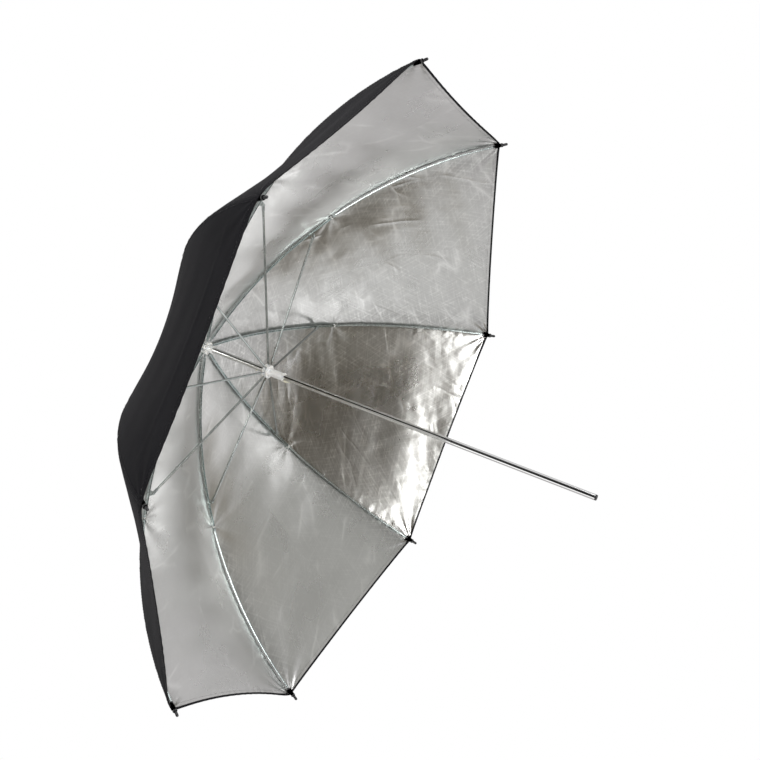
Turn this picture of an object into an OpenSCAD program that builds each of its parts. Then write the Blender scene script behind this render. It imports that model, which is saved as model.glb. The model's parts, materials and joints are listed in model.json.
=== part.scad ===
// Umbrella reflector: eight ribs, one sliding runner and a fabric dish on a plain tube shaft.
// +X runs along the shaft from the crown to the free end, and +Z is up.
// The origin is on the shaft's axis, in the middle of the stretch that a holder clamps.

/* [Dish] */
// Radius of the circle through the eight hem corners
tip_circle_r = 470; // [460:1:480]
// Depth of the dish, from the crown's pivots to the plane of the hem corners
dish_depth = 242; // [236:1:248]
// Distance between the rib's centreline and the fabric's inner face
fabric_stand_off = 3; // [2.8:0.1:3.4]
// Thickness of the fabric, two layers and their coating
fabric_t = 0.5; // [0.3:0.1:0.8]

/* [Shaft] */
// Outside diameter of the shaft tube
shaft_d = 8; // [7.8:0.1:8.2]
// Wall thickness of the shaft tube
shaft_wall = 0.8; // [0.6:0.1:1]
// Distance from the crown's pivots to the shaft's free end
shaft_reach = 606; // [590:1:640]
// Distance from the crown's pivots to the origin, at the clamping stretch
crown_to_origin = 436; // [420:1:450]

/* [Ribs and stretchers] */
// Width of the folded rib channel
channel_w = 3.2; // [3:0.1:3.6]
// Depth of the folded rib channel
channel_h = 3; // [2.8:0.1:3.2]
// Sheet thickness of the rib channel
channel_t = 0.5; // [0.4:0.05:0.6]
// Diameter of the outer rib rod
outer_rod_d = 2.8; // [2.4:0.1:3]
// Diameter of the stretcher rod
stretcher_d = 3.2; // [2.6:0.1:3.4]
// Angle along the rib's arc at which the stretcher is hinged
stretcher_at = 23.3; // [22:0.1:24]
// Distance of the stretcher's hinge inside the rib's centreline
stretcher_drop = 7; // [6:0.5:8]

/* [Crown and runner] */
// Radius of the wire ring that the rib and stretcher eyes turn on
pivot_r = 7; // [6.8:0.1:7.4]
// Outside radius of the slotted rings
ring_r = 9.6; // [9.4:0.1:10.4]
// Length of the runner's sleeve beyond its pivots
runner_sleeve = 28; // [24:1:34]
// Outside diameter of the runner's sleeve
sleeve_d = 11.2; // [10.8:0.2:12]

/* [Hidden] */
ribs = 8;
rib_step = 360 / ribs;
first_rib = rib_step / 2;
half_gore = rib_step / 2;
run_clear = 0.05;
cut = 1;
$fn = 48;

// The rib's centreline leaves the crown square to the shaft and ends at the hem corner.
rib_radius = (pow(dish_depth, 2) + pow(tip_circle_r - pivot_r, 2)) / (2 * dish_depth);
rib_sweep = acos(1 - dish_depth / rib_radius);
mid_at = rib_sweep / 2;

// The stretcher is as long as the rib's crank, so the runner pivots at twice the hinge's depth.
hinge_x = arc_x(stretcher_at, -stretcher_drop);
hinge_z = arc_z(stretcher_at, -stretcher_drop);
runner_x = 2 * hinge_x;
stretcher_length = norm([hinge_x, hinge_z - pivot_r]);
stretcher_tilt = atan2(hinge_x, hinge_z - pivot_r);

shaft_r = shaft_d / 2;
shaft_bore_r = shaft_r - shaft_wall;
shaft_start = -16;
plug_flange = 2;
plug_length = 14;
plug_step = 0.2;
plug_gap = 0.02;
catch_at = runner_x + runner_sleeve + 1.5;
catch_length = 13;
catch_w = 2;
catch_proud = 2.2;
catch_crest = 3;
catch_toe = 0.3;
leaf_length = 32;
leaf_t = 0.4;
leaf_z = -1.8;
window_side_gap = 0.2;
window_end_gap = 0.4;
crimp_at = catch_at + catch_length + 4;
crimp_w = 2;
crimp_depth = 0.25;
stop_at = 88;
stop_r = 1.2;
stop_head_r = 1.9;
stop_head_t = 0.6;
stop_proud = 1.4;
// Length by which two joined solids run into each other
join = 0.2;

wire_r = 0.5;
eye_r = 1.5;
eye_hole_r = wire_r + 0.15;
eye_t = 1;
slot_w = 1.4;
slot_floor_r = pivot_r - 1.6;
slot_back = 1.7;
groove_floor_r = pivot_r - 0.6;
groove_w = 1.2;
ring_half = 4;
crown_back = 2.4;
collar_length = 8;
collar_r = 5.8;
cross_pin_r = 0.8;
cross_pin_at = ring_half + collar_length / 2;
cross_pin_inset = 0.3;
washer_x = fabric_stand_off + fabric_t + 0.1;
cap_flange_t = 1.6;
cap_flange_r = 8.5;
cap_nose_x = 15;
cap_nose_r = 6;
bore_gap = 0.1;
keyway_gap = 0.3;
end_flange_t = 1.6;
end_flange_proud = 0.8;

channel_from = arc_deg(9);
channel_past = arc_deg(2.2);
gap_w = channel_w - 2 * channel_t;
rib_eye_bar = 2.6;
rib_eye_lap = arc_deg(5);
mid_slot_w = 5;
mid_slot_back = 2.4;
mid_slot_web = 0.9;
rivet_r = 0.7;
rivet_hole_r = rivet_r + run_clear;
rivet_head_r = 1.25;
rivet_head_t = 0.4;
lug_t = 1.2;
lug_end_r = 2.2;
lug_foot = 6;
fork_gap = 1.6;
fork_w = 3.2;
fork_arm_w = 3;
fork_arm = 6;
fork_slot = 4.5;
fork_bridge_at = 8;
fork_bridge = 3.5;
rod_eye_w = 2.2;
rod_eye_l = 11;
rod_from = 8;
rod_short = 14;
mid_tab_t = 1.4;
mid_tab_w = 2;
mid_tab_l = arc_deg(6);
mid_eye_r = 1.3;
outer_rod_from = arc_deg(3);
tip_proud = 11;
tip_wall = 0.55;
tip_bore_short = 2.9;
outer_rod_past = arc_deg(tip_proud - 3);
washer_r = 14;
washer_t = 1.2;
gore_points = 12;
gore_gap = 0.06;
hole_r = 5;

// Points on the rib's arc: a is the angle along it, off the distance outside the centreline.
function arc_x(a, off = 0) = rib_radius - (rib_radius + off) * cos(a);
function arc_z(a, off = 0) = pivot_r + (rib_radius + off) * sin(a);
function arc_deg(s) = s / rib_radius * 180 / PI;

// Moves from the crown's pivot plane, where every sub-part is drawn, to the shared origin.
module from_crown() {
    translate([-crown_to_origin, 0, 0]) children();
}

// Turns a part drawn in the XZ plane into rib number n.
module spoke(n) {
    from_crown() rotate([first_rib + (n - 1) * rib_step - 90, 0, 0]) children();
}

// Turns a part drawn in the XZ plane into the gore between ribs n and n + 1.
module gore(n) {
    from_crown() rotate([first_rib + (n - 0.5) * rib_step - 90, 0, 0]) children();
}

// A solid of revolution about the shaft, from a profile of (radius, distance) points.
module about_shaft() {
    rotate([0, 90, 0]) rotate_extrude() children();
}

// A tube or rod along the shaft's axis.
module along_shaft(x0, x1, r) {
    translate([x0, 0, 0]) rotate([0, 90, 0]) cylinder(r = r, h = x1 - x0);
}

// A cross-section swept along the rib's arc; its x is the distance outside the centreline.
module along_arc(a0, a1) {
    translate([rib_radius, 0, pivot_r]) rotate([90, 0, 180])
        rotate_extrude(angle = a1 - a0, start = a0, $fn = 96)
            translate([rib_radius, 0]) children();
}

// Stands a part on the arc: its +Z runs outward along the rib, its +X into the dish.
module at_arc(a) {
    translate([arc_x(a), 0, arc_z(a)]) rotate([0, a, 0]) children();
}

// A pin across the rib's plane.
module cross(r, w) {
    rotate([90, 0, 0]) cylinder(r = r, h = w, center = true);
}

// A flat plate in the rib's plane, of thickness t.
module plate(t) {
    rotate([90, 0, 0]) linear_extrude(t, center = true) children();
}

// A rivet across the rib's plane with a head on each side of a stack w wide.
module rivet(w) {
    cross(rivet_r, w + rivet_head_t);
    for (side = [-1, 1])
        translate([0, side * (w / 2 + run_clear + rivet_head_t / 2), 0])
            cross(rivet_head_r, rivet_head_t);
}

// The wire ring that the eyes turn on.
module pivot_wire(x) {
    translate([x, 0, 0]) about_shaft() translate([pivot_r, 0]) circle(r = wire_r, $fn = 24);
}

// The slots for the eyes and the groove for their wire, open on the side that the rods fold to.
module ring_slots(x, open) {
    for (n = [1:ribs])
        rotate([first_rib + (n - 1) * rib_step, 0, 0])
            translate([x - (open > 0 ? slot_back : ring_half + cut), slot_floor_r, -slot_w / 2])
                cube([slot_back + ring_half + cut, ring_r, slot_w]);
    translate([x - groove_w / 2, 0, 0]) difference() {
        along_shaft(0, groove_w, ring_r + cut);
        along_shaft(-cut, groove_w + cut, groove_floor_r);
    }
}

// The chromed tube, with the catch's window, the stop's hole, the cross pin's hole and a crimp.
module shaft_tube() {
    color("silver") from_crown() difference() {
        along_shaft(shaft_start, shaft_reach - plug_flange, shaft_r);
        along_shaft(shaft_start - cut, shaft_reach, shaft_bore_r);
        translate([catch_at - window_end_gap, -catch_w / 2 - window_side_gap, -shaft_d])
            cube([catch_length + 2 * window_end_gap, catch_w + 2 * window_side_gap, shaft_d]);
        translate([stop_at, 0, -shaft_d]) cylinder(r = stop_r + run_clear, h = shaft_d);
        translate([cross_pin_at, 0, 0]) cross(cross_pin_r + run_clear, shaft_d * 2);
        difference() {
            along_shaft(crimp_at, crimp_at + crimp_w, shaft_r + cut);
            along_shaft(crimp_at - cut, crimp_at + crimp_w + cut, shaft_r - crimp_depth);
        }
    }
}

// The black plug that closes the tube's free end.
module shaft_end_plug() {
    color("dimgray") from_crown() {
        along_shaft(shaft_reach - plug_flange + plug_gap, shaft_reach, shaft_r - plug_step);
        along_shaft(shaft_reach - plug_length, shaft_reach - plug_flange / 2, shaft_bore_r - run_clear);
    }
}

// The slotted ring that holds the rib eyes, with the collar that is pinned to the shaft.
module crown_notch() {
    color("gainsboro") from_crown() difference() {
        union() {
            along_shaft(-crown_back, ring_half, ring_r);
            along_shaft(0, ring_half + collar_length, collar_r);
        }
        along_shaft(-cut - crown_back, ring_half + collar_length + cut, shaft_r + run_clear);
        ring_slots(0, 1);
        translate([cross_pin_at, 0, 0]) cross(cross_pin_r + run_clear, shaft_d * 2);
    }
}

// The wire ring in the crown.
module crown_wire() {
    color("silver") from_crown() pivot_wire(0);
}

// The pin that fixes the crown to the shaft.
module crown_pin() {
    color("silver") from_crown() translate([cross_pin_at, 0, 0])
        cross(cross_pin_r, 2 * (collar_r - cross_pin_inset));
}

// The black washer that holds the fabric against the crown.
module crown_washer() {
    color("dimgray") from_crown() difference() {
        along_shaft(-washer_x - washer_t, -washer_x, washer_r);
        along_shaft(-washer_r, 0, shaft_r + run_clear);
    }
}

// The black cap pressed over the shaft's end, with a flange against the washer and a domed nose.
module crown_cap() {
    flange_x = washer_x + washer_t + run_clear;
    color("dimgray") from_crown() difference() {
        mirror([1, 0, 0]) {
            along_shaft(flange_x, flange_x + cap_flange_t, cap_flange_r);
            along_shaft(flange_x, cap_nose_x, cap_nose_r);
            translate([cap_nose_x, 0, 0]) about_shaft() intersection() {
                circle(r = cap_nose_r);
                square(cap_nose_r);
            }
        }
        along_shaft(shaft_start - bore_gap, 0, shaft_r + run_clear);
    }
}

// The white slider: a slotted ring for the stretcher eyes, a sleeve and an end flange.
module runner() {
    color("white") from_crown() translate([runner_x, 0, 0]) difference() {
        union() {
            along_shaft(-ring_half, ring_half, ring_r);
            along_shaft(0, runner_sleeve, sleeve_d / 2);
            along_shaft(runner_sleeve - end_flange_t, runner_sleeve, sleeve_d / 2 + end_flange_proud);
        }
        along_shaft(-ring_half - cut, runner_sleeve + cut, shaft_r + bore_gap);
        ring_slots(0, -1);
        translate([-ring_half - cut, -catch_w / 2 - keyway_gap, -groove_floor_r])
            cube([ring_half + runner_sleeve + 2 * cut, catch_w + 2 * keyway_gap, groove_floor_r]);
    }
}

// The wire ring in the runner.
module runner_wire() {
    color("silver") from_crown() pivot_wire(runner_x);
}

// The stop that keeps the runner from passing its open place.
module runner_stop_pin() {
    head_z = -sqrt(pow(shaft_bore_r, 2) - pow(stop_head_r, 2)) + run_clear;
    color("ivory") from_crown() translate([stop_at, 0, 0]) {
        translate([0, 0, -shaft_r - stop_proud])
            cylinder(r = stop_r, h = shaft_r + stop_proud + head_z + join);
        translate([0, 0, head_z]) cylinder(r = stop_head_r, h = stop_head_t);
    }
}

// The sprung catch that holds the runner open: a wedge on a leaf inside the tube.
module runner_catch() {
    color("ivory") from_crown() translate([catch_at, 0, 0]) {
        plate(catch_w) polygon([
            [0, -shaft_r - catch_proud],
            [catch_crest, -shaft_r - catch_proud],
            [catch_length, -shaft_r + catch_toe],
            [catch_length, leaf_z],
            [0, leaf_z]
        ]);
        translate([0, -catch_w / 2, leaf_z - leaf_t]) cube([leaf_length, catch_w, leaf_t]);
    }
}

// The inner half of a rib: a folded channel, open to the dish, with a flat eye and a lug.
module rib_inner(n) {
    color("lightgray") spoke(n) {
        difference() {
            union() {
                along_arc(channel_from, mid_at + channel_past) difference() {
                    square([channel_h, channel_w], center = true);
                    translate([-channel_t, 0]) square([channel_h, gap_w], center = true);
                }
                along_arc(0, channel_from + rib_eye_lap) square([rib_eye_bar, eye_t], center = true);
                at_arc(0) cross(eye_r, eye_t);
                at_arc(stretcher_at) stretcher_lug();
            }
            at_arc(0) cross(eye_hole_r, channel_w);
            at_arc(stretcher_at) translate([stretcher_drop, 0, 0]) cross(rivet_hole_r, channel_w);
            at_arc(mid_at) {
                cross(rivet_hole_r, channel_w * 2);
                translate([-channel_h, -gap_w / 2, -mid_slot_back])
                    cube([channel_h - mid_slot_web, gap_w, mid_slot_w]);
            }
        }
        at_arc(mid_at) rivet(channel_w);
    }
}

// The plate that stands on the channel's web and carries the stretcher's hinge.
module stretcher_lug() {
    foot = channel_h / 2 - channel_t / 2;
    plate(lug_t) {
        polygon([
            [-foot, -lug_foot],
            [-foot, lug_foot],
            [stretcher_drop, lug_end_r],
            [stretcher_drop, -lug_end_r]
        ]);
        translate([stretcher_drop, 0]) circle(r = lug_end_r);
    }
}

// The outer half of a rib: a round sprung rod with a flat eye riveted inside the channel.
module rib_outer(n) {
    color("lightgray") spoke(n) difference() {
        union() {
            along_arc(mid_at + outer_rod_from, rib_sweep + outer_rod_past) circle(d = outer_rod_d, $fn = 24);
            along_arc(mid_at, mid_at + mid_tab_l) square([mid_tab_w, mid_tab_t], center = true);
            at_arc(mid_at) cross(mid_eye_r, mid_tab_t);
        }
        at_arc(mid_at) cross(rivet_hole_r, channel_w);
    }
}

// The black cap on a rib's end, which the hem corner is tied to.
module rib_tip(n) {
    cap_r = outer_rod_d / 2 + tip_wall;
    cap_end = rib_sweep + arc_deg(tip_proud - cap_r);
    color("dimgray") spoke(n) difference() {
        union() {
            along_arc(rib_sweep - arc_deg(tip_proud), cap_end) circle(r = cap_r, $fn = 32);
            at_arc(cap_end) sphere(r = cap_r, $fn = 32);
        }
        along_arc(rib_sweep - arc_deg(tip_proud + cut), rib_sweep + arc_deg(tip_proud - tip_bore_short))
            circle(d = outer_rod_d + 2 * run_clear, $fn = 24);
    }
}

// A stretcher: a flat eye in the runner, a round rod, and a fork that straddles the rib's lug.
module stretcher(n) {
    length = stretcher_length;
    color("lightgray") spoke(n) translate([runner_x, 0, pivot_r]) rotate([0, -stretcher_tilt, 0]) {
        difference() {
            union() {
                cross(eye_r, eye_t);
                translate([-rod_eye_w / 2, -eye_t / 2, 0]) cube([rod_eye_w, eye_t, rod_eye_l]);
                translate([0, 0, rod_from]) cylinder(d = stretcher_d, h = length - rod_short, $fn = 24);
                translate([-fork_arm_w / 2, -fork_w / 2, length - fork_bridge_at])
                    cube([fork_arm_w, fork_w, fork_bridge]);
                fork(length);
            }
            cross(eye_hole_r, channel_w);
            translate([0, 0, length]) cross(rivet_hole_r, fork_w * 2);
        }
        translate([0, 0, length]) rivet(fork_w);
    }
}

// The two cheeks of the stretcher's fork, centred on its hinge.
module fork(length) {
    difference() {
        plate(fork_w) {
            translate([-fork_arm_w / 2, length - fork_arm]) square([fork_arm_w, fork_arm]);
            translate([0, length]) circle(r = lug_end_r);
        }
        translate([-channel_w, -fork_gap / 2, length - fork_slot])
            cube([channel_w * 2, fork_gap, 2 * fork_slot]);
    }
}

// One ring of a gore, ruled flat between its ribs, from angle a0 to a1 along their arc.
module gore_band(n, a0, a1) {
    step = (a1 - a0) / gore_points;
    reach = tip_circle_r * 2;
    color("gray") gore(n) intersection() {
        plate(reach) polygon([
            for (i = [0:gore_points]) gore_point(a0 + i * step, fabric_stand_off),
            for (i = [gore_points:-1:0]) gore_point(a0 + i * step, fabric_stand_off + fabric_t)
        ]);
        translate([-dish_depth, 0, 0]) rotate([90, 0, 90]) linear_extrude(3 * dish_depth)
            polygon([
                [0, gore_gap / sin(half_gore)],
                [-reach * tan(half_gore), reach + gore_gap / sin(half_gore)],
                [reach * tan(half_gore), reach + gore_gap / sin(half_gore)]
            ]);
    }
}

// A point of the gore's mid-line, which lies inside the ribs by the flat chord between them.
function gore_point(a, off) = [arc_x(a, off), arc_z(a, off) * cos(half_gore)];

// The inner ring of a gore, from the hole at the crown to the middle of the ribs.
module canopy_inner(n) {
    hole_at = asin((hole_r / cos(half_gore) - pivot_r) / rib_radius);
    gore_band(n, hole_at, mid_at - arc_deg(gore_gap));
}

// The outer ring of a gore, from the middle of the ribs to the hem.
module canopy_outer(n) {
    gore_band(n, mid_at + arc_deg(gore_gap), rib_sweep);
}

shaft_tube();
shaft_end_plug();
crown_notch();
crown_wire();
crown_pin();
crown_cap();
crown_washer();
runner();
runner_wire();
runner_stop_pin();
runner_catch();
for (n = [1:ribs]) {
    rib_inner(n);
    rib_outer(n);
    rib_tip(n);
    stretcher(n);
    canopy_inner(n);
    canopy_outer(n);
}
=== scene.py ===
"""Looks for the umbrella reflector: the sewn cover, its stitching, pockets and ties, and every material."""
import json
import math

import bpy
import numpy as np
from mathutils import Matrix, Vector

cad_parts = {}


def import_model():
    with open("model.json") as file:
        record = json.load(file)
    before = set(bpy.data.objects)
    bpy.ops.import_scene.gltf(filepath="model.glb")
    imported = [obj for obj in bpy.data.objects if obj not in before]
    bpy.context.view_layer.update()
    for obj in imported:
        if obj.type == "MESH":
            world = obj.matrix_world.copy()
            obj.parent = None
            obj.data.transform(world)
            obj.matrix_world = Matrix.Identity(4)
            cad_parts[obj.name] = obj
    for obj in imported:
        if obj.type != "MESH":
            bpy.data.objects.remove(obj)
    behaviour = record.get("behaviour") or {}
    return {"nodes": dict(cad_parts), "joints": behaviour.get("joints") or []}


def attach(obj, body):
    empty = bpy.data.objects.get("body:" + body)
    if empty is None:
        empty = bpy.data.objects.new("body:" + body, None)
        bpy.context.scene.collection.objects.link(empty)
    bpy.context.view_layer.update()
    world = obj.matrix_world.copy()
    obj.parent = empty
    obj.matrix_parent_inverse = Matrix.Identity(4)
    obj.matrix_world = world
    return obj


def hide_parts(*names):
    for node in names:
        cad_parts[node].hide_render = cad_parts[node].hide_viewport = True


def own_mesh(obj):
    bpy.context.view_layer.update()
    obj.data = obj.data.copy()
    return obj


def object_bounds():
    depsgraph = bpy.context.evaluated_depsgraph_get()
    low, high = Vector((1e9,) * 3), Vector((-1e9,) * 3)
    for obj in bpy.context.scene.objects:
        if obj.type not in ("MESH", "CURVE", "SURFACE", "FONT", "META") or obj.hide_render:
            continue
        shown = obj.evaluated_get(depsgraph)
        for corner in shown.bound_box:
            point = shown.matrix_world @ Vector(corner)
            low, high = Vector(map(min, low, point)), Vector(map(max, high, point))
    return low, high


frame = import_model()
cad_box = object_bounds()

# ---------------------------------------------------------------- the frame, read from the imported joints
JOINTS = {j["name"]: j for j in frame["joints"]}
RIBS = 8
STEP = 2 * math.pi / RIBS
HALF = STEP / 2
FOLD = math.radians(JOINTS["rib_fold_1"]["range_deg"][1])
SPRING = math.radians(JOINTS["rib_spring_1"]["range_deg"][1])


def plane_point(joint):
    """A joint's place in its rib's plane: (distance along the shaft, distance from the shaft)."""
    x, y, z = JOINTS[joint]["pos_m"]
    return np.array([x, math.hypot(y, z)])


def rib_angle(n):
    """The angle of rib n round the shaft; n runs on past the last rib."""
    x, y, z = JOINTS["rib_fold_1"]["pos_m"]
    return math.atan2(z, y) + (n - 1) * STEP


CROWN = plane_point("rib_fold_1")
MIDDLE = plane_point("rib_spring_1")
PIVOT_R = CROWN[1]
RISE = MIDDLE - CROWN
RIB_R = float(RISE @ RISE) / (2 * RISE[0])      # the rib leaves the crown square to the shaft
MID_S = RIB_R * math.asin(RISE[1] / RIB_R)      # distances s run along the rib from the crown
HEM_S = 2 * MID_S

# ---------------------------------------------------------------- the cover's sizes, in metres
STAND_OFF = 0.003
CLOTH_T = 0.0005
HOLE_R = 0.005
SEAM_W = 0.0050
SEAM_LIFT = 0.00035
HEM_W = 0.009
HEM_EDGE = 0.0032
HEM_LIFT = 0.00035
SAG = 0.0130
HEM_BOW = 0.0030
BOWED_GORE = 6
EXTRA_BOW = 0.0070
CREASED_GORE = 4
CREASE_BACK = 0.050
SEAM_ROLL = 0.0042
SEAM_ROLL_W = 0.012
ROW_STEP = 0.0036
HALF_COLUMNS = 26
SEAM_COLUMNS = (0.0, 0.0012, 0.0026, 0.0038, 0.0047, 0.0053, 0.0068)
STRIP_COLUMNS = 5
STITCH = 0.0030
STITCH_PITCH = 0.0042
STITCH_R = 0.00022
TIE_S = MID_S - 0.004
FLAP_UNDER = 0.004
FLAP_SPARE = 0.003
FLAP_T = 0.00008

ZONE_ENDS = [0.040, 0.080, 0.130, 0.195, MID_S, MID_S + 0.085, MID_S + 0.175, HEM_S]
HOLE_S = RIB_R * math.asin((HOLE_R / math.cos(HALF) - PIVOT_R) / RIB_R)

# How crumpled each gore's lining is; gore n lies between ribs n and n + 1.
CRINKLE = {1: 0.70, 2: 0.20, 3: 0.12, 4: 0.12, 5: 0.12, 6: 0.15, 7: 0.40, 8: 1.0}


def wrap(g):
    return (g - 1) % RIBS + 1


def smooth(x, a, b):
    t = np.clip((x - a) / (b - a), 0, 1)
    return t * t * (3 - 2 * t)


# ---------------------------------------------------------------- the shape of the sewn cover
def corner_folds(across, back, phase):
    """Creases that fan out from a hem corner, at distances across and back from it."""
    r = np.hypot(across, back) + 1e-6
    fan = np.arctan2(across, back)
    fade = np.exp(-r / 0.038) * (1 - np.exp(-r / 0.010))
    return 0.0013 * fade * np.cos(11.0 * fan + phase) * np.sqrt(np.abs(np.sin(fan)))


def tie_folds(across, along, phase):
    """Creases that fan out from the thread tie in the middle of a rib."""
    r = np.hypot(across, along) + 1e-6
    fan = np.arctan2(along, across)
    pull = 0.0008 * np.exp(-(r / 0.018) ** 2)
    crease = 0.0006 * np.exp(-r / 0.040) * (1 - np.exp(-r / 0.010)) * np.cos(7.0 * fan + phase)
    return crease * np.clip(across / 0.010, 0, 1) + pull


def seam_pucker(across, s, rib):
    """The seam gathers the cloth beside it into short ridges square to the rib."""
    ridges = sum(k * np.sin(2 * math.pi * s / pitch + 1.7 * rib * (1 + pitch / 0.01))
                 for k, pitch in ((0.6, 0.0119), (0.8, 0.0173), (0.7, 0.0261)))
    patchy = 0.55 + 0.45 * np.sin(2 * math.pi * s / 0.083 + 2.3 * rib)
    return 0.00020 * np.exp(-across / 0.010) * ridges * patchy


def ripple(q, s, g):
    """Broad slack waves and fine crinkles in the cloth between two ribs."""
    rng = np.random.default_rng(40 + g)
    inside = np.sin(math.pi * q)
    out = 0.0
    for k in range(3):
        f, h, p = rng.uniform(6, 16), rng.uniform(1.0, 2.5), rng.uniform(0, 6.28)
        out = out + 0.0006 / (1 + k) * np.sin(f * s / 0.1 * 0.6 + h * math.pi * q + p) * inside
    fine = 0.0
    for k in range(9):
        t, f, p = rng.uniform(0, math.pi), rng.uniform(90, 300), rng.uniform(0, 6.28)
        width = 2 * s * math.sin(HALF)
        u = (q - 0.5) * width * math.cos(t) + s * math.sin(t)
        fine = fine + np.sin(f * u + p + 1.5 * np.sin(31 * u + p)) * 110 / f
    return out + 0.00009 * CRINKLE[g] * fine * np.sqrt(inside)


def cover_point(g, q, s):
    """The lining's surface in gore g: q runs from rib g (0) to rib g + 1 (1), and s along the ribs."""
    bow = HEM_BOW + (EXTRA_BOW if g == BOWED_GORE else 0.0)
    bell = 4 * q * (1 - q)
    depth = np.clip(s / HEM_S, 0, 1)
    a = (s - bow * bell * depth ** 7) / RIB_R
    arc = RIB_R + STAND_OFF
    x = CROWN[0] + RIB_R - arc * np.cos(a)
    rho = PIVOT_R + arc * np.sin(a)
    w0, w1 = rib_angle(g), rib_angle(g + 1)
    y = rho * ((1 - q) * math.cos(w0) + q * math.cos(w1))
    z = rho * ((1 - q) * math.sin(w0) + q * math.sin(w1))
    mid = (w0 + w1) / 2
    # outward normal of the flat ruled sheet
    nx, nr = -np.cos(a) * math.cos(HALF), np.sin(a)
    size = np.hypot(nx, nr)
    nx, nr = nx / size, nr / size
    width = 2 * rho * math.sin(HALF)
    push = -SAG * bell * np.sin(math.pi * depth ** 1.2 * 0.86) + ripple(q, s, g)
    for across, rib in ((q * width, g), ((1 - q) * width, wrap(g + 1))):
        push = push + SEAM_ROLL * depth * (1 - np.exp(-across / SEAM_ROLL_W))
        push = push - corner_folds(across, HEM_S - s, 0.7 * rib) - tie_folds(across, s - TIE_S, 1.1 * rib)
        push = push + seam_pucker(across, s, rib)
    push = push - SEAM_ROLL * depth
    push = push + 0.0004 * np.sin(q * width * 2 * math.pi / 0.019) * np.exp(-(HEM_S - s) / 0.010) * bell
    if g == CREASED_GORE:
        push = push + 0.0006 * bell * np.exp(-((HEM_S - s - CREASE_BACK) / 0.005) ** 2)
    push = push * smooth(s, 0.015, 0.090)
    return np.stack([x + push * nx, y + push * nr * math.cos(mid), z + push * nr * math.sin(mid)], -1)


def cover_frame(g, q, s):
    """Point, outward normal, direction across and direction along, on the lining's surface."""
    eps = 2e-4
    dq = eps / (2 * (PIVOT_R + np.maximum(s, 0.001)) * math.sin(HALF))
    p = cover_point(g, q, s)
    du = cover_point(g, np.minimum(q + dq, 1), s) - cover_point(g, np.maximum(q - dq, 0), s)
    dv = cover_point(g, q, s + eps) - cover_point(g, q, s - eps)
    du /= np.linalg.norm(du, axis=-1, keepdims=True)
    dv /= np.linalg.norm(dv, axis=-1, keepdims=True)
    n = np.cross(dv, du)
    n /= np.linalg.norm(n, axis=-1, keepdims=True)
    mid = rib_angle(g) + HALF
    out = np.array([-0.5, math.cos(mid), math.sin(mid)])
    n *= np.where((n @ out) < 0, -1.0, 1.0)[..., None]
    return p, n, du, dv


# ---------------------------------------------------------------- closing: how far each zone of the cover narrows
def folded(point, flex):
    """Where a point of a rib's plane goes when the umbrella is shut."""
    def turn(p, centre, angle):
        d = p - centre
        c, s = math.cos(angle), math.sin(angle)
        return centre + np.array([d[0] * c + d[1] * s, -d[0] * s + d[1] * c])
    if flex:
        point = turn(point, MIDDLE, -SPRING)
    return turn(point, CROWN, FOLD)


def zone_keep(s0, s1):
    """The share of its width that a zone keeps, so that neighbouring zones meet halfway between shut ribs."""
    a = (s0 + s1) / 2 / RIB_R
    arc = RIB_R + STAND_OFF
    rho = PIVOT_R + arc * math.sin(a)
    middle = np.array([CROWN[0] + RIB_R - arc * math.cos(a), rho * math.cos(HALF) ** 2])
    room = folded(middle, s0 >= MID_S)[1] * math.tan(HALF)
    return min(1.0, max(0.03, room / (rho * math.sin(HALF) * math.cos(HALF))))


# ---------------------------------------------------------------- mesh helpers
class Build:
    """Collects vertices, faces and material numbers, and for each vertex a normal and how crumpled it is."""
    def __init__(self):
        self.v, self.n, self.f, self.m, self.uv, self.crumpled = [], [], [], [], [], []
        self.count = 0

    def add(self, points, normals, faces, material, uv=None, crumpled=None):
        points = np.asarray(points).reshape(-1, 3)
        self.v.append(points)
        self.n.append(np.asarray(normals).reshape(-1, 3))
        self.uv.append(np.zeros((len(points), 2)) if uv is None else np.asarray(uv).reshape(-1, 2))
        self.crumpled.append(np.zeros(len(points)) if crumpled is None else np.asarray(crumpled).ravel())
        self.f += [tuple(i + self.count for i in face) for face in faces]
        self.m += [material] * len(faces) if isinstance(material, int) else list(material)
        self.count += len(points)

    def make(self, name, materials):
        mesh = bpy.data.meshes.new(name)
        mesh.from_pydata(np.concatenate(self.v).tolist(), [], self.f)
        for material in materials:
            mesh.materials.append(material)
        mesh.polygons.foreach_set("material_index", self.m)
        mesh.polygons.foreach_set("use_smooth", [True] * len(self.f))
        flat = np.concatenate(self.uv)
        loops = np.zeros(len(mesh.loops), np.int32)
        mesh.loops.foreach_get("vertex_index", loops)
        layer = mesh.uv_layers.new(name="cloth")
        layer.data.foreach_set("uv", flat[loops].astype(np.float32).ravel())
        normals = np.concatenate(self.n)
        if len(normals) == len(mesh.vertices):
            mesh.normals_split_custom_set_from_vertices(normals.tolist())
        attribute = mesh.attributes.new("crumpled", "FLOAT", "POINT")
        attribute.data.foreach_set("value", np.concatenate(self.crumpled).astype(np.float32))
        obj = bpy.data.objects.new(name, mesh)
        bpy.context.scene.collection.objects.link(obj)
        return obj


def grid_faces(rows, columns, flip=False):
    out = []
    for i in range(rows - 1):
        for j in range(columns - 1):
            a = i * columns + j
            face = (a, a + 1, a + columns + 1, a + columns)
            out.append(face[::-1] if flip else face)
    return out


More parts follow.
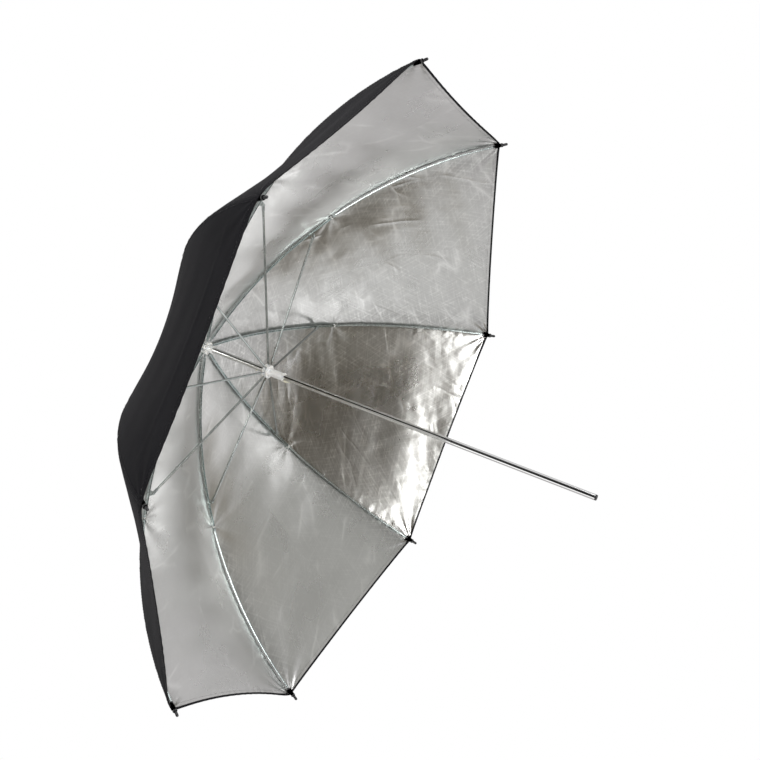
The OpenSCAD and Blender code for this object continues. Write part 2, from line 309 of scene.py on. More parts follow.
def tube(build, points, radius, material, sides=8, closed=False, radii=None):
    """A round tube along a list of points, with closed ends."""
    pts = np.asarray(points, float)
    count = len(pts)
    radii = np.full(count, radius) if radii is None else np.asarray(radii)
    tangents = np.roll(pts, -1, 0) - np.roll(pts, 1, 0) if closed else np.gradient(pts, axis=0)
    tangents /= np.linalg.norm(tangents, axis=1, keepdims=True)
    ref = np.array([0.31, 0.53, 0.79])
    side = np.cross(tangents, ref)
    side /= np.linalg.norm(side, axis=1, keepdims=True)
    up = np.cross(tangents, side)
    ang = np.arange(sides) * 2 * math.pi / sides
    ring = side[:, None] * np.cos(ang)[None, :, None] + up[:, None] * np.sin(ang)[None, :, None]
    v = pts[:, None] + ring * radii[:, None, None]
    faces = []
    last = count if closed else count - 1
    for i in range(last):
        for j in range(sides):
            a, b = i * sides + j, i * sides + (j + 1) % sides
            c, d = ((i + 1) % count) * sides + (j + 1) % sides, ((i + 1) % count) * sides + j
            faces.append((a, b, c, d))
    if not closed:
        faces.append(tuple(range(sides))[::-1])
        faces.append(tuple((count - 1) * sides + j for j in range(sides)))
    build.add(v, ring, faces, material)


def stitch_row(build, points, along, out, material):
    """A row of sewn stitches: each is a short thread lying on the cloth."""
    sides = 5
    ang = np.arange(sides) * 2 * math.pi / sides
    for p, t, n in zip(points, along, out):
        b = np.cross(t, n)
        ring = n[None] * np.sin(ang)[:, None] + b[None] * np.cos(ang)[:, None]
        rings = [(-0.5, 0.35, -0.5), (0.0, 1.0, 0.5), (0.5, 0.35, -0.5)]
        v = np.concatenate([p + t * STITCH * k + n * STITCH_R * h + ring * STITCH_R * r for k, r, h in rings])
        faces = [(i * sides + j, i * sides + (j + 1) % sides, (i + 1) * sides + (j + 1) % sides, (i + 1) * sides + j)
                 for i in range(2) for j in range(sides)]
        faces += [tuple(range(sides))[::-1], tuple(2 * sides + j for j in range(sides))]
        build.add(v, np.concatenate([ring] * 3), faces, material)


# ---------------------------------------------------------------- materials
def material(name, rough=0.5, metallic=0.0, color=(0.8, 0.8, 0.8)):
    m = bpy.data.materials.new(name)
    m.use_nodes = True
    nodes, links = m.node_tree.nodes, m.node_tree.links
    bsdf = nodes["Principled BSDF"]
    bsdf.inputs["Base Color"].default_value = (*color, 1)
    bsdf.inputs["Roughness"].default_value = rough
    bsdf.inputs["Metallic"].default_value = metallic
    return m, nodes, links, bsdf


def ramp(nodes, links, source, stops):
    r = nodes.new("ShaderNodeValToRGB")
    r.color_ramp.elements[0].position, r.color_ramp.elements[0].color = stops[0][0], (*stops[0][1], 1)
    r.color_ramp.elements[1].position, r.color_ramp.elements[1].color = stops[-1][0], (*stops[-1][1], 1)
    for pos, col in stops[1:-1]:
        e = r.color_ramp.elements.new(pos)
        e.color = (*col, 1)
    links.new(source, r.inputs["Fac"])
    return r.outputs["Color"]


def grey(*values):
    return [(p, (v, v, v)) for p, v in values]


def noise(nodes, links, coord, scale, detail=3.0, rough=0.55, distortion=0.0):
    t = nodes.new("ShaderNodeTexNoise")
    t.inputs["Scale"].default_value = scale
    t.inputs["Detail"].default_value = detail
    t.inputs["Roughness"].default_value = rough
    t.inputs["Distortion"].default_value = distortion
    links.new(coord, t.inputs["Vector"])
    return t.outputs["Fac"]


def maths(nodes, links, op, a, b):
    t = nodes.new("ShaderNodeMath")
    t.operation = op
    for i, x in enumerate((a, b)):
        if isinstance(x, (int, float)):
            t.inputs[i].default_value = x
        else:
            links.new(x, t.inputs[i])
    return t.outputs[0]


def multiply(nodes, links, first, second):
    mix = nodes.new("ShaderNodeMixRGB")
    mix.blend_type = "MULTIPLY"
    mix.inputs["Fac"].default_value = 1.0
    links.new(first, mix.inputs["Color1"])
    links.new(second, mix.inputs["Color2"])
    return mix.outputs[0]


def bump(nodes, links, height, strength, distance, below=None):
    t = nodes.new("ShaderNodeBump")
    t.inputs["Strength"].default_value = strength
    t.inputs["Distance"].default_value = distance
    links.new(height, t.inputs["Height"])
    if below is not None:
        links.new(below, t.inputs["Normal"])
    return t.outputs["Normal"]


def weave(nodes, links, pitch):
    """Over-and-under threads on the cloth's own coordinates, as a height."""
    uv = nodes.new("ShaderNodeUVMap")
    uv.uv_map = "cloth"
    waves = []
    for axis in ("X", "Y"):
        w = nodes.new("ShaderNodeTexWave")
        w.bands_direction = axis
        w.inputs["Scale"].default_value = 0.314 / pitch
        w.inputs["Distortion"].default_value = 0.6
        w.inputs["Detail Scale"].default_value = 2.0
        links.new(uv.outputs["UV"], w.inputs["Vector"])
        waves.append(w.outputs["Fac"])
    return maths(nodes, links, "MULTIPLY", waves[0], waves[1]), uv.outputs["UV"]


def stretched(nodes, links, uv, across, along, turn=0.0):
    """The cloth's coordinates, turned and then scaled apart, so that a noise on them becomes streaks."""
    t = nodes.new("ShaderNodeMapping")
    t.vector_type = "TEXTURE"
    t.inputs["Rotation"].default_value = (0, 0, turn)
    t.inputs["Scale"].default_value = (1 / across, 1 / along, 1)
    links.new(uv, t.inputs["Vector"])
    return t.outputs["Vector"]


def crease_lines(nodes, links, uv, across, along, turn, width):
    """A height that is level except along long, wandering, broken crease lines."""
    wander = nodes.new("ShaderNodeTexNoise")
    wander.inputs["Scale"].default_value = 1.5
    wander.inputs["Detail"].default_value = 2.0
    coord = stretched(nodes, links, uv, across, along, turn)
    links.new(coord, wander.inputs["Vector"])
    moved = nodes.new("ShaderNodeVectorMath")
    moved.operation = "MULTIPLY_ADD"
    links.new(wander.outputs["Color"], moved.inputs[0])
    moved.inputs[1].default_value = (0.5, 0.5, 0)
    links.new(coord, moved.inputs[2])
    cells = nodes.new("ShaderNodeTexVoronoi")
    cells.feature = "DISTANCE_TO_EDGE"
    cells.inputs["Scale"].default_value = 1.0
    links.new(moved.outputs[0], cells.inputs["Vector"])
    line = ramp(nodes, links, cells.outputs["Distance"], grey((0.0, 1.0), (width, 0.35), (2 * width, 0.0)))
    broken = ramp(nodes, links, noise(nodes, links, uv, 14, 2, 0.5), grey((0.48, 0.0), (0.62, 1.0)))
    return maths(nodes, links, "MULTIPLY", line, broken)


def silver_lining():
    m, nodes, links, bsdf = material("silver_lining", 0.36, 0.93)
    threads, uv = weave(nodes, links, 0.0009)
    crumpled = nodes.new("ShaderNodeAttribute")
    crumpled.attribute_name = "crumpled"
    amount = crumpled.outputs["Fac"]
    cloudy = noise(nodes, links, uv, 9, 4, 0.6)
    plain = ramp(nodes, links, cloudy, [(0.3, (0.67, 0.67, 0.66)), (0.7, (0.74, 0.74, 0.73))])
    scratched = plain
    for turn, along in ((0.45, 26), (-0.65, 34), (1.35, 30)):
        scratches = noise(nodes, links, stretched(nodes, links, uv, 330, along, turn), 1.0, 2, 0.5)
        shade = ramp(nodes, links, scratches, grey((0.40, 0.86), (0.55, 0.92), (0.70, 1.12)))
        scratched = multiply(nodes, links, scratched, shade)
    mix = nodes.new("ShaderNodeMixRGB")
    links.new(maths(nodes, links, "POWER", amount, 1.6), mix.inputs["Fac"])
    links.new(plain, mix.inputs["Color1"])
    links.new(scratched, mix.inputs["Color2"])
    long_lines = crease_lines(nodes, links, uv, 7, 21, -0.5, 0.04)
    # painted glint: the colour is lightened towards near-white along the long crease lines; the same lines are also
    # real folds in the bump below
    tone_with_painted_glints = nodes.new("ShaderNodeMixRGB")
    links.new(maths(nodes, links, "MULTIPLY", long_lines, 0.45), tone_with_painted_glints.inputs["Fac"])
    links.new(mix.outputs[0], tone_with_painted_glints.inputs["Color1"])
    tone_with_painted_glints.inputs["Color2"].default_value = (0.95, 0.95, 0.94, 1)
    links.new(tone_with_painted_glints.outputs[0], bsdf.inputs["Base Color"])
    links.new(ramp(nodes, links, cloudy, grey((0.3, 0.26), (0.7, 0.31))), bsdf.inputs["Roughness"])
    normal = bump(nodes, links, threads, 0.08, 0.0002)
    brushed = noise(nodes, links, stretched(nodes, links, uv, 150, 14, 0.5), 1.0, 1, 0.5)
    mottled = noise(nodes, links, uv, 70, 1, 0.4)
    for height, strength, distance in (
            (brushed, 0.10, 0.0010),
            (mottled, 0.26, 0.0012),
            (crease_lines(nodes, links, uv, 13, 4.5, 0.35, 0.03), 0.45, 0.0008),
            (long_lines, 0.30, 0.0006)):
        normal = bump(nodes, links, height, strength, distance, normal)
        links.new(maths(nodes, links, "MULTIPLY", amount, strength), normal.node.inputs["Strength"])
    links.new(normal, bsdf.inputs["Normal"])
    return m


def black_cover():
    m, nodes, links, bsdf = material("black_cover", 0.62)
    threads, uv = weave(nodes, links, 0.0008)
    cloudy = noise(nodes, links, uv, 14, 5, 0.6)
    base = ramp(nodes, links, cloudy, [(0.3, (0.010, 0.010, 0.0118)), (0.7, (0.0145, 0.0145, 0.017))])
    links.new(base, bsdf.inputs["Base Color"])
    links.new(ramp(nodes, links, threads, grey((0.2, 0.70), (0.8, 0.52))), bsdf.inputs["Roughness"])
    bsdf.inputs["Specular IOR Level"].default_value = 0.07
    first = bump(nodes, links, threads, 0.25, 0.0002)
    crumple = noise(nodes, links, uv, 45, 5, 0.6, 0.8)
    links.new(bump(nodes, links, crumple, 0.18, 0.001, first), bsdf.inputs["Normal"])
    return m


def thread(name, light, dark):
    m, nodes, links, bsdf = material(name, 0.7)
    coord = nodes.new("ShaderNodeTexCoord").outputs["Object"]
    fibres = noise(nodes, links, coord, 2500, 2, 0.6)
    links.new(ramp(nodes, links, fibres, [(0.35, dark), (0.65, light)]), bsdf.inputs["Base Color"])
    bsdf.inputs["Sheen Weight"].default_value = 0.3
    links.new(bump(nodes, links, fibres, 0.5, 0.0002), bsdf.inputs["Normal"])
    return m


def metal(name, light, dark, rough, rim):
    """Zinc-plated steel wire and strip: cloudy plating, a painted shade that darkens the colour towards the edges as
    seen from the camera, and fine dull spots.
    """
    m, nodes, links, bsdf = material(name, rough, 1.0)
    coord = nodes.new("ShaderNodeTexCoord").outputs["Object"]
    cloudy = noise(nodes, links, coord, 60, 5, 0.65)
    plating = ramp(nodes, links, cloudy, [(0.35, dark), (0.65, light)])
    # painted shade: the colour darkens as the surface turns away from the camera, down to the rim value at the edge
    facing = nodes.new("ShaderNodeLayerWeight")
    facing.inputs["Blend"].default_value = 0.5
    edge = ramp(nodes, links, facing.outputs["Facing"], grey((0.0, 1.0), (0.40, 0.92), (1.0, rim)))
    links.new(multiply(nodes, links, plating, edge), bsdf.inputs["Base Color"])
    fine = noise(nodes, links, coord, 500, 3, 0.6)
    links.new(ramp(nodes, links, fine, grey((0.3, rough * 0.75), (0.7, rough * 1.35))), bsdf.inputs["Roughness"])
    links.new(bump(nodes, links, fine, 0.03, 0.00015), bsdf.inputs["Normal"])
    return m


def chrome_tube():
    """Chromed drawn tube with painted reflections: bright and dark bands run along it, painted into the colour by the
    way the surface faces, so the tone depends on the angle round the tube.
    """
    m, nodes, links, bsdf = material("shaft_chrome", 0.10, 1.0)
    geometry = nodes.new("ShaderNodeNewGeometry")
    split = nodes.new("ShaderNodeSeparateXYZ")
    links.new(geometry.outputs["Normal"], split.inputs[0])
    front = maths(nodes, links, "MULTIPLY", split.outputs["Y"], -1.0)
    turn = maths(nodes, links, "DIVIDE", maths(nodes, links, "ARCTAN2", split.outputs["Z"], front), math.pi)
    half_turn = maths(nodes, links, "FRACT", maths(nodes, links, "ADD", turn, 0.5), 0.0)
    # painted reflection: bands that stand in for the bright and dark room mirrored in the chrome, set by the surface's
    # facing
    streaks = ramp(nodes, links, half_turn, grey(
        (0.0, 0.14), (0.08, 0.25), (0.16, 0.70), (0.25, 0.90), (0.31, 1.0), (0.49, 1.0), (0.53, 0.04),
        (0.64, 0.03), (0.69, 0.90), (0.87, 0.80), (0.94, 0.20), (1.0, 0.12)))
    coord = nodes.new("ShaderNodeTexCoord").outputs["Object"]
    cloudy = noise(nodes, links, coord, 35, 4, 0.6)
    wear = ramp(nodes, links, cloudy, [(0.3, (0.91, 0.915, 0.90)), (0.7, (0.98, 0.985, 0.98))])
    links.new(multiply(nodes, links, streaks, wear), bsdf.inputs["Base Color"])
    links.new(ramp(nodes, links, cloudy, grey((0.3, 0.07), (0.7, 0.14))), bsdf.inputs["Roughness"])
    return m


def plastic(name, light, dark, rough, through=0.0):
    m, nodes, links, bsdf = material(name, rough)
    coord = nodes.new("ShaderNodeTexCoord").outputs["Object"]
    cloudy = noise(nodes, links, coord, 120, 4, 0.6)
    links.new(ramp(nodes, links, cloudy, [(0.3, dark), (0.7, light)]), bsdf.inputs["Base Color"])
    grain = noise(nodes, links, coord, 1600, 3, 0.6)
    links.new(ramp(nodes, links, grain, grey((0.3, rough * 0.85), (0.7, rough * 1.2))), bsdf.inputs["Roughness"])
    links.new(bump(nodes, links, grain, 0.12, 0.00015), bsdf.inputs["Normal"])
    if through:
        bsdf.inputs["Subsurface Weight"].default_value = through
        bsdf.inputs["Subsurface Radius"].default_value = (0.003, 0.0028, 0.0025)
    return m


SILVER = silver_lining()
BLACK = black_cover()
THREAD_GREY = thread("thread_grey", (0.40, 0.40, 0.39), (0.22, 0.22, 0.22))
THREAD_BLACK = thread("thread_black", (0.05, 0.05, 0.052), (0.02, 0.02, 0.022))
THREAD_WHITE = thread("thread_white", (0.85, 0.85, 0.83), (0.62, 0.62, 0.60))
CHROME = chrome_tube()
# The last number of each metal sets how dark its painted edge shade goes.
RIB_STEEL = metal("rib_steel", (0.66, 0.72, 0.71), (0.48, 0.54, 0.54), 0.24, 0.55)
ROD_STEEL = metal("stretcher_steel", (0.62, 0.66, 0.65), (0.42, 0.46, 0.46), 0.12, 0.10)
WIRE = metal("wire_steel", (0.70, 0.72, 0.71), (0.52, 0.54, 0.53), 0.25, 0.50)
NYLON = plastic("white_nylon", (0.88, 0.88, 0.87), (0.80, 0.80, 0.79), 0.38, 0.25)
CREAM = plastic("cream_nylon", (0.83, 0.80, 0.66), (0.72, 0.69, 0.54), 0.42, 0.2)
BLACK_PLASTIC = plastic("black_plastic", (0.028, 0.028, 0.030), (0.016, 0.016, 0.018), 0.42)

CLOTH_LOOK = [SILVER, BLACK, THREAD_GREY, THREAD_BLACK]

NODE_LOOK = {
    "shaft_tube": CHROME, "shaft_end_plug": BLACK_PLASTIC, "crown_notch": NYLON, "crown_wire": WIRE,
    "crown_pin": WIRE, "crown_cap": BLACK_PLASTIC, "crown_washer": BLACK_PLASTIC, "runner": NYLON,
    "runner_wire": WIRE, "runner_stop_pin": CREAM, "runner_catch": CREAM, "rib_inner": RIB_STEEL,
    "rib_outer": RIB_STEEL, "rib_tip": BLACK_PLASTIC, "stretcher": ROD_STEEL, "canopy_inner": SILVER,
    "canopy_outer": SILVER,
}


def dress_cad_nodes():
    """Gives every carried-over part its material."""
    for name, obj in frame["nodes"].items():
        kind = name.rsplit("_", 1)[0] if name[-1].isdigit() else name
        obj.data.materials.clear()
        obj.data.materials.append(NODE_LOOK[kind])


# ---------------------------------------------------------------- the sewn cover, one zone of one rib at a time
def half_columns(width):
    """Distances from the rib's seam to the middle of the gore, close together over the seam."""
    limit = width / 2
    squeeze = min(1.0, limit / (SEAM_COLUMNS[-1] * 2))
    near = np.array(SEAM_COLUMNS) * squeeze
    far = near[-1] + (limit - near[-1]) * np.linspace(0, 1, HALF_COLUMNS + 1)[1:] ** 1.45
    return np.concatenate([near, far])


def panel_rows(s0, s1):
    """Distances along the rib for one zone's rows; the hem zone has extra rows for its folded edge."""
    rows = list(np.linspace(s0, s1, max(3, int(round((s1 - s0) / ROW_STEP)) + 1)))
    if abs(s1 - HEM_S) < 1e-9:
        rows = [r for r in rows if r < HEM_S - HEM_W - 0.003]
        rows += [HEM_S - d for d in (HEM_W + 0.001, HEM_W, HEM_W - 0.0008, 0.006, HEM_EDGE, 0.0018, 0.0009, 0.0004, 0.0)]
    return np.array(rows)


def panel_side(rib, side, rows):
    """Points, normals, distance from the seam and gore number for one half gore beside a rib."""
    g = rib if side > 0 else rib - 1
    gore = wrap(g)
    points, normals, offsets = [], [], []
    for s in rows:
        width = 2 * (PIVOT_R + (RIB_R + STAND_OFF) * math.sin(s / RIB_R)) * math.sin(HALF)
        d = half_columns(width)
        q = d / width if side > 0 else 1 - d / width
        p, n, _, _ = cover_frame(gore, q, np.full(len(d), s))
        points.append(p)
        normals.append(n)
        offsets.append(d)
    return np.array(points), np.array(normals), np.array(offsets), gore


def cloth_sheet(build, p, n, inner_t, outer_t, uv, lining, crumpled):
    """Adds one sheet of cloth with a lined inside, a black outside and a closed rim."""
    rows, count = p.shape[:2]
    centre = p + n * CLOTH_T / 2
    faces = grid_faces(rows, count)
    turned = [f[::-1] for f in faces]
    flip = float(np.cross(p[0, 1] - p[0, 0], p[1, 0] - p[0, 0]) @ n[0, 0]) < 0
    first, total = build.count, rows * count
    build.add(centre + n * outer_t[..., None], n, turned if flip else faces, 1, uv, crumpled)
    build.add(centre - n * inner_t[..., None], -n, faces if flip else turned, lining, uv, crumpled)
    ring = list(range(count)) + [i * count + count - 1 for i in range(1, rows)]
    ring += [(rows - 1) * count + j for j in range(count - 2, -1, -1)] + [i * count for i in range(rows - 2, 0, -1)]
    for k, m in zip(ring, ring[1:] + ring[:1]):
        face = (first + k, first + k + total, first + m + total, first + m)
        build.f.append(face if flip else face[::-1])
        build.m.append(1)


def panel(rib, zone, s0, s1, strip):
    """One zone of the cover round one rib: the cloth on both sides, and the strip over the rib with its seam."""
    rows = panel_rows(s0, s1)
    at_hem = abs(s1 - HEM_S) < 1e-9
    left, right = panel_side(rib, -1, rows), panel_side(rib, 1, rows)
    middle_n = left[1][:, :1] + right[1][:, :1]
    middle_n /= np.linalg.norm(middle_n, axis=-1, keepdims=True)
    p = np.concatenate([left[0][:, :0:-1], (left[0][:, :1] + right[0][:, :1]) / 2, right[0][:, 1:]], 1)
    n = np.concatenate([left[1][:, :0:-1], middle_n, right[1][:, 1:]], 1)
    d = np.concatenate([-left[2][:, :0:-1], left[2][:, :1] * 0, right[2][:, 1:]], 1)
    between = smooth(d, -0.012, 0.012)
    crumpled = CRINKLE[left[3]] * (1 - between) + CRINKLE[right[3]] * between + 0.4 * np.exp(-np.abs(d) / 0.012)
    crumpled = crumpled + 0.7 * np.exp(-np.abs(d) / 0.020) * smooth(rows, MID_S, MID_S + 0.060)[:, None]
    calm = smooth(rows, 0.020, 0.060)[:, None]
    seam = (1 - smooth(np.abs(d), SEAM_W - 0.0004, SEAM_W + 0.0004)) * calm
    hem = smooth(rows, HEM_S - HEM_W - 0.0004, HEM_S - HEM_W + 0.0004)[:, None] * np.ones_like(d)
    round_off = np.sqrt(np.clip((HEM_S - rows) / 0.0010, 0.0, 1.0))[:, None] if at_hem else 1.0
    outer_t = (CLOTH_T / 2 + SEAM_LIFT * seam + HEM_LIFT * hem) * round_off
    inner_t = (CLOTH_T / 2 + SEAM_LIFT * 0.7 * seam + HEM_LIFT * hem) * round_off
    uv = np.stack([d + 0.37 * rib, rows[:, None] + np.zeros_like(d)], -1)
    edge = [1 if at_hem and s > HEM_S - HEM_EDGE else 0 for s in rows[:-1] + np.diff(rows) / 2]
    middle = d.shape[1] // 2
    near, far = middle - STRIP_COLUMNS, middle + STRIP_COLUMNS
    sides = Build()
    for build, part in ((sides, slice(0, near + 1)), (strip, slice(near, far + 1)), (sides, slice(far, None))):
        lining = np.repeat(edge, d[:, part].shape[1] - 1).tolist()
        cloth_sheet(build, p[:, part], n[:, part], inner_t[:, part], outer_t[:, part], uv[:, part], lining,
                    crumpled[:, part])
    if s1 == MID_S:
        joint_flap(sides, rib, -1)
        joint_flap(sides, rib, 1)
    add_stitches(sides, strip, rib, s0, s1, at_hem)
    obj = sides.make(f"cover_rib_{rib}_zone_{zone}", CLOTH_LOOK)
    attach(obj, f"rib_outer_{rib}" if s0 >= MID_S - 1e-9 else f"rib_inner_{rib}")
    zone_keep(s0, s1)
    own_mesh(obj)
    return obj


def joint_flap(sides, rib, side):
    """Cloth hidden between the two sheets past the middle of a rib; it fills the gap that opens as the rib bends."""
    gore = wrap(rib if side > 0 else rib - 1)
    width = 2 * (PIVOT_R + (RIB_R + STAND_OFF) * math.sin(MID_S / RIB_R)) * math.sin(HALF)
    d = half_columns(width)[STRIP_COLUMNS:]
    q = d / width if side > 0 else 1 - d / width
    reach = math.tan(SPRING) * (d * math.sin(HALF) + SAG * 4 * q * (1 - q)) + FLAP_SPARE
    points, normals, uv = [], [], []
    for share in np.linspace(0, 1, 9):
        s = MID_S - FLAP_UNDER + (FLAP_UNDER + reach) * share
        p, n, _, _ = cover_frame(gore, q, s)
        points.append(p)
        normals.append(n)
        uv.append(np.stack([side * d + 0.37 * rib, s], -1))
    points = np.array(points)
    thin = np.full(points.shape[:2], FLAP_T)
    lining = [0] * ((len(points) - 1) * (len(d) - 1))
    cloth_sheet(sides, points, np.array(normals), thin, thin, np.array(uv), lining, thin * 0 + CRINKLE[gore])


def add_stitches(sides, strip, rib, s0, s1, at_hem):
    """Two rows of stitches beside the seam on each face, and one row round the hem."""
    lift_in = CLOTH_T / 2 + SEAM_LIFT * 0.7
    lift_out = CLOTH_T / 2 + SEAM_LIFT
    start = max(s0, 0.022)
    first = math.ceil((start - 0.022) / STITCH_PITCH)
    marks = 0.022 + STITCH_PITCH * np.arange(first, int((min(s1, HEM_S - 0.002) - 0.022) / STITCH_PITCH) + 1)
    marks = marks[(marks >= start) & (marks < min(s1, HEM_S - 0.002))]
    for side in (-1, 1):
        gore = wrap(rib if side > 0 else rib - 1)
        width = 2 * (PIVOT_R + (RIB_R + STAND_OFF) * np.sin(marks / RIB_R)) * math.sin(HALF)
        d = np.minimum(0.0036, width * 0.3)
        q = d / width if side > 0 else 1 - d / width
        p, n, du, dv = cover_frame(gore, q, marks)
        centre = p + n * CLOTH_T / 2
        stitch_row(strip, centre - n * lift_in, dv, -n, 2)
        stitch_row(strip, centre + n * lift_out, dv, n, 3)
        if at_hem:
            s = HEM_S - HEM_W + 0.0016
            width = 2 * (PIVOT_R + (RIB_R + STAND_OFF) * math.sin(s / RIB_R)) * math.sin(HALF)
            d = np.arange(0.008, width / 2 - 0.0005, STITCH_PITCH)
            q = d / width if side > 0 else 1 - d / width
            p, n, du, dv = cover_frame(gore, q, np.full(len(d), s))
            centre = p + n * CLOTH_T / 2
            stitch_row(sides, centre - n * (CLOTH_T / 2 + HEM_LIFT), du, -n, 2)
            stitch_row(sides, centre + n * (CLOTH_T / 2 + HEM_LIFT), du, n, 3)


def rib_plane(rib, s, off=0.0, side=0.0):
    """A point beside a rib: s along it, off outside its centreline, side across it."""
    a = s / RIB_R
    x = CROWN[0] + RIB_R - (RIB_R + off) * math.cos(a)
    rho = PIVOT_R + (RIB_R + off) * math.sin(a)
    w = rib_angle(rib)
    return np.array([x, rho * math.cos(w) - side * math.sin(w), rho * math.sin(w) + side * math.cos(w)])


def corner_pocket(rib):
    """The black cloth pocket that slips over a rib's cap and is sewn to the hem corner."""
    build = Build()
    rings, sides = 14, 24
    ang = np.arange(sides) * 2 * math.pi / sides
    v, nr = [], []
    for i in range(rings):
        t = i / (rings - 1)
        s = HEM_S - 0.0085 + 0.0125 * t
        wide = 0.0020 * (1 - t) ** 1.5 + 0.0027
        tall = 0.0025 + 0.0003 * math.sin(math.pi * min(1, t * 1.2))
        off = 0.0006 * (1 - t) + 0.0001
        shut = 1.0 if i < rings - 1 else 0.90
        wave = 1 + 0.03 * np.sin(5 * ang + 3.0 * i)
        for k, a in enumerate(ang):
            v.append(rib_plane(rib, s, off + tall * shut * math.sin(a) * wave[k], wide * shut * math.cos(a) * wave[k]))
            centre = rib_plane(rib, s, off)
            d = v[-1] - centre
            nr.append(d / np.linalg.norm(d))
    faces = []
    for i in range(rings - 1):
        for j in range(sides):
            a, b = i * sides + j, i * sides + (j + 1) % sides
            faces.append((a, b, b + sides, a + sides))
    faces.append(tuple(range(sides))[::-1])
    faces.append(tuple((rings - 1) * sides + j for j in range(sides)))
    build.add(v, nr, faces, 0)
    for k in range(3):
        s = HEM_S + 0.0015 + 0.0007 * k
        loop = [rib_plane(rib, s + 0.0002 * math.sin(a), 0.0002 + 0.0029 * math.sin(a), 0.0030 * math.cos(a)) for a in ang]
        tube(build, loop, 0.00032, 1, 6, closed=True)
    obj = build.make(f"corner_pocket_{rib}", [BLACK, THREAD_BLACK])
    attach(obj, f"rib_outer_{rib}")


def rib_tie(rib):
    """White thread that ties the seam to the rib's channel: three turns, a knot and two loose ends."""
    build = Build()
    sides = 28
    for k in range(3):
        s = TIE_S - 0.0008 + 0.0008 * k
        loop = []
        for j in range(sides):
            a = 2 * math.pi * j / sides
            box = 1 / max(abs(math.cos(a)), abs(math.sin(a))) ** 0.7
            loop.append(rib_plane(rib, s + 0.0003 * math.sin(a), 0.0009 + 0.0028 * math.sin(a) * box, 0.0021 * math.cos(a) * box))
        tube(build, loop, 0.00030, 0, 6, closed=True)
    knot = [rib_plane(rib, TIE_S + 0.0009 * math.sin(2 * t), -0.0022 - 0.0004 * math.cos(3 * t), 0.0009 * math.cos(t))
            for t in np.linspace(0, 2 * math.pi, 20, endpoint=False)]
    tube(build, knot, 0.00040, 0, 6, closed=True)
    for side, length in ((-1, 0.0085), (1, 0.0065)):
        end = []
        for t in np.linspace(0, 1, 9):
            end.append(rib_plane(rib, TIE_S + 0.0030 * t * side + 0.001 * math.sin(3 * t),
                                 -0.0024 - 0.0016 * math.sin(2.2 * t), side * (0.0006 + length * t)))
        tube(build, end, 0.00026, 0, 6)
    obj = build.make(f"rib_tie_{rib}", [THREAD_WHITE])
    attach(obj, f"rib_inner_{rib}")


def cover():
    for rib in range(1, RIBS + 1):
        start = HOLE_S
        strips = {"inner": Build(), "outer": Build()}
        for zone, end in enumerate(ZONE_ENDS, 1):
            half = "outer" if start >= MID_S else "inner"
            piece = panel(rib, zone, start, end, strips[half])
            if zone == 1:
                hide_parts(f"canopy_inner_{rib}")
            if start == MID_S:
                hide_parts(f"canopy_outer_{rib}")
            start = end
        for half, strip in strips.items():
            obj = strip.make(f"seam_strip_{half}_{rib}", CLOTH_LOOK)
            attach(obj, f"rib_{half}_{rib}")
        corner_pocket(rib)
        rib_tie(rib)


dress_cad_nodes()
cover()


# ---------------------------------------------------------------- stage: floor, light and camera
def mix_shader(nodes, links, fac, a, b):
    t = nodes.new("ShaderNodeMixShader")
    if isinstance(fac, float):
        t.inputs[0].default_value = fac
    else:
        links.new(fac, t.inputs[0])
    links.new(a, t.inputs[1])
    links.new(b, t.inputs[2])
    return t.outputs[0]


def floor():
    """A plain white floor that the camera sees from above; the light comes from the studio round it."""
    size = 9.0
    mesh = bpy.data.meshes.new("floor")
    z = cad_box[0].z - 0.28
    mesh.from_pydata([(-size, -size, z), (size, -size, z), (size, size, z), (-size, size, z)], [], [(0, 1, 2, 3)])
    obj = bpy.data.objects.new("floor", mesh)
    bpy.context.scene.collection.objects.link(obj)
    m, nodes, links, bsdf = material("floor_white")
    white, clear = nodes.new("ShaderNodeEmission"), nodes.new("ShaderNodeBsdfTransparent")
    path = nodes.new("ShaderNodeLightPath").outputs["Is Camera Ray"]
    below = nodes.new("ShaderNodeNewGeometry").outputs["Backfacing"]
    seen = maths(nodes, links, "MULTIPLY", path, maths(nodes, links, "SUBTRACT", 1.0, below))
    links.new(mix_shader(nodes, links, seen, clear.outputs[0], white.outputs[0]), nodes["Material Output"].inputs["Surface"])
    obj.data.materials.append(m)


# The studio round the umbrella, as patches of a direction, the half-angles where a patch is full and where it
# ends, and its colour: the dark room beyond the dish's mouth, its lights, and the dark behind the camera.
PATCHES = [
    ((0.72, 0.68, 0.0), 10, 34, (0.98, 0.97, 0.97)),
    ((0.75, 0.30, -0.60), 14, 38, (0.82, 0.82, 0.81)),
    ((0.72, 0.15, 0.68), 16, 42, (0.40, 0.40, 0.38)),
    ((0.45, 0.82, 0.34), 5, 19, (0.42, 0.42, 0.41)),
    ((0.98, -0.17, -0.12), 18, 36, (0.27, 0.21, 0.10)),
    ((0.98, -0.17, -0.12), 16, 32, (0.045, 0.028, 0.004)),
    ((0.66, -0.75, 0.0), 9, 16, (10.0, 10.0, 9.8)),
    ((0.61, 0.60, -0.51), 3, 9, (2.0, 2.0, 2.0)),
    ((0.60, 0.62, 0.49), 3, 9, (2.0, 2.0, 2.0)),
    ((-0.36, -0.91, -0.18), 14, 40, (0.03, 0.03, 0.03)),
    ((-0.38, -0.74, 0.55), 4, 11, (5.0, 5.0, 5.0)),
    ((-0.38, -0.60, -0.70), 8, 18, (1.3, 1.3, 1.3)),
]


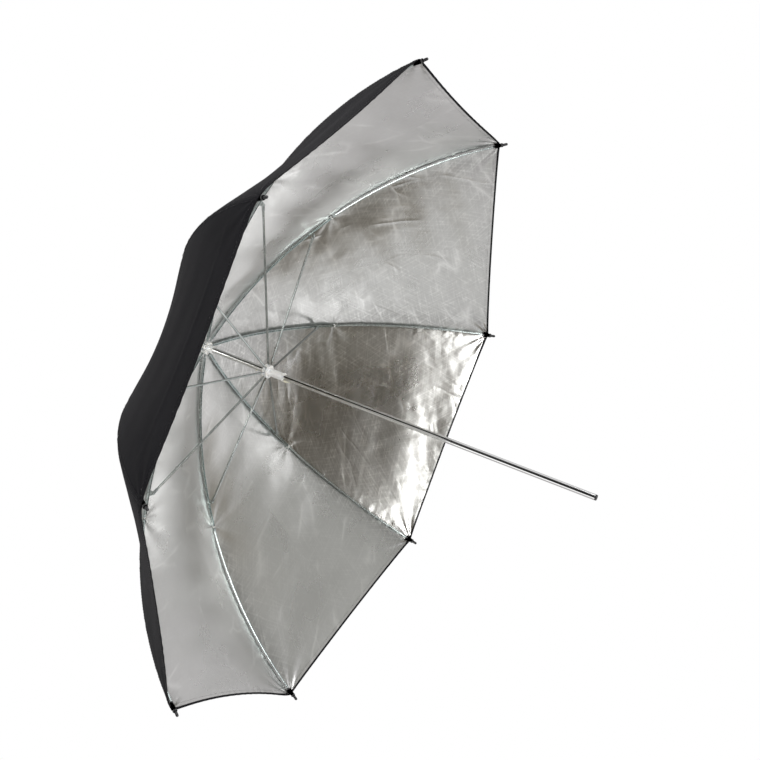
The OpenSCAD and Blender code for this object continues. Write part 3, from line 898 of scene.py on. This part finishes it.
def world():
    w = bpy.data.worlds.new("studio")
    bpy.context.scene.world = w
    w.use_nodes = True
    nodes, links = w.node_tree.nodes, w.node_tree.links
    nodes.clear()
    out = nodes.new("ShaderNodeOutputWorld")
    seen, lit = nodes.new("ShaderNodeBackground"), nodes.new("ShaderNodeBackground")
    seen.inputs[0].default_value = (1, 1, 1, 1)
    direction = nodes.new("ShaderNodeTexCoord").outputs["Generated"]
    split = nodes.new("ShaderNodeSeparateXYZ")
    links.new(direction, split.inputs[0])
    height = maths(nodes, links, "MULTIPLY_ADD", split.outputs["Z"], 0.5)
    colour = ramp(nodes, links, height, [(0.0, (0.60, 0.585, 0.59)), (0.5, (0.58, 0.565, 0.57)), (1.0, (0.78, 0.77, 0.78))])
    for towards, full, end, patch in PATCHES:
        inside = nodes.new("ShaderNodeVectorMath")
        inside.operation = "DOT_PRODUCT"
        links.new(direction, inside.inputs[0])
        inside.inputs[1].default_value = Vector(towards).normalized()
        edge = nodes.new("ShaderNodeMapRange")
        edge.interpolation_type = "SMOOTHSTEP"
        edge.inputs["From Min"].default_value = math.cos(math.radians(end))
        edge.inputs["From Max"].default_value = math.cos(math.radians(full))
        links.new(inside.outputs["Value"], edge.inputs["Value"])
        mix = nodes.new("ShaderNodeMixRGB")
        links.new(edge.outputs["Result"], mix.inputs["Fac"])
        links.new(colour, mix.inputs["Color1"])
        mix.inputs["Color2"].default_value = (*patch, 1)
        colour = mix.outputs[0]
    links.new(colour, lit.inputs[0])
    path = nodes.new("ShaderNodeLightPath").outputs["Is Camera Ray"]
    links.new(mix_shader(nodes, links, path, lit.outputs[0], seen.outputs[0]), out.inputs[0])


def soft_light(name, place, target, size, power, shape="RECTANGLE"):
    data = bpy.data.lights.new(name, "AREA")
    data.shape = shape
    data.size, data.size_y = size
    data.energy = power
    obj = bpy.data.objects.new(name, data)
    obj.location = place
    obj.rotation_euler = (Vector(target) - Vector(place)).to_track_quat("-Z", "Y").to_euler()
    bpy.context.scene.collection.objects.link(obj)


def camera():
    azimuth, elevation, roll = math.radians(22.5), math.radians(-0.6), math.radians(20.8)
    back = Vector((math.sin(azimuth) * math.cos(elevation), -math.cos(azimuth) * math.cos(elevation), math.sin(elevation)))
    data = bpy.data.cameras.new("camera")
    data.lens = 69.18
    data.sensor_width = 36
    obj = bpy.data.objects.new("camera", data)
    right = Vector((math.cos(azimuth), math.sin(azimuth), 0))
    up = back.cross(right)
    turned_right = right * math.cos(roll) + up * math.sin(roll)
    turned_up = back.cross(turned_right)
    rot = Matrix((turned_right, turned_up, back)).transposed()
    obj.matrix_world = Matrix.Translation((0.5935, -1.8353, 0.0228)) @ rot.to_4x4()
    bpy.context.scene.collection.objects.link(obj)
    bpy.context.scene.camera = obj


floor()
world()
soft_light("key", (0.2, -1.2, 2.3), (-0.2, 0, 0), (1.2, 1.2), 14)
camera()
bpy.context.scene.view_settings.view_transform = "Standard"
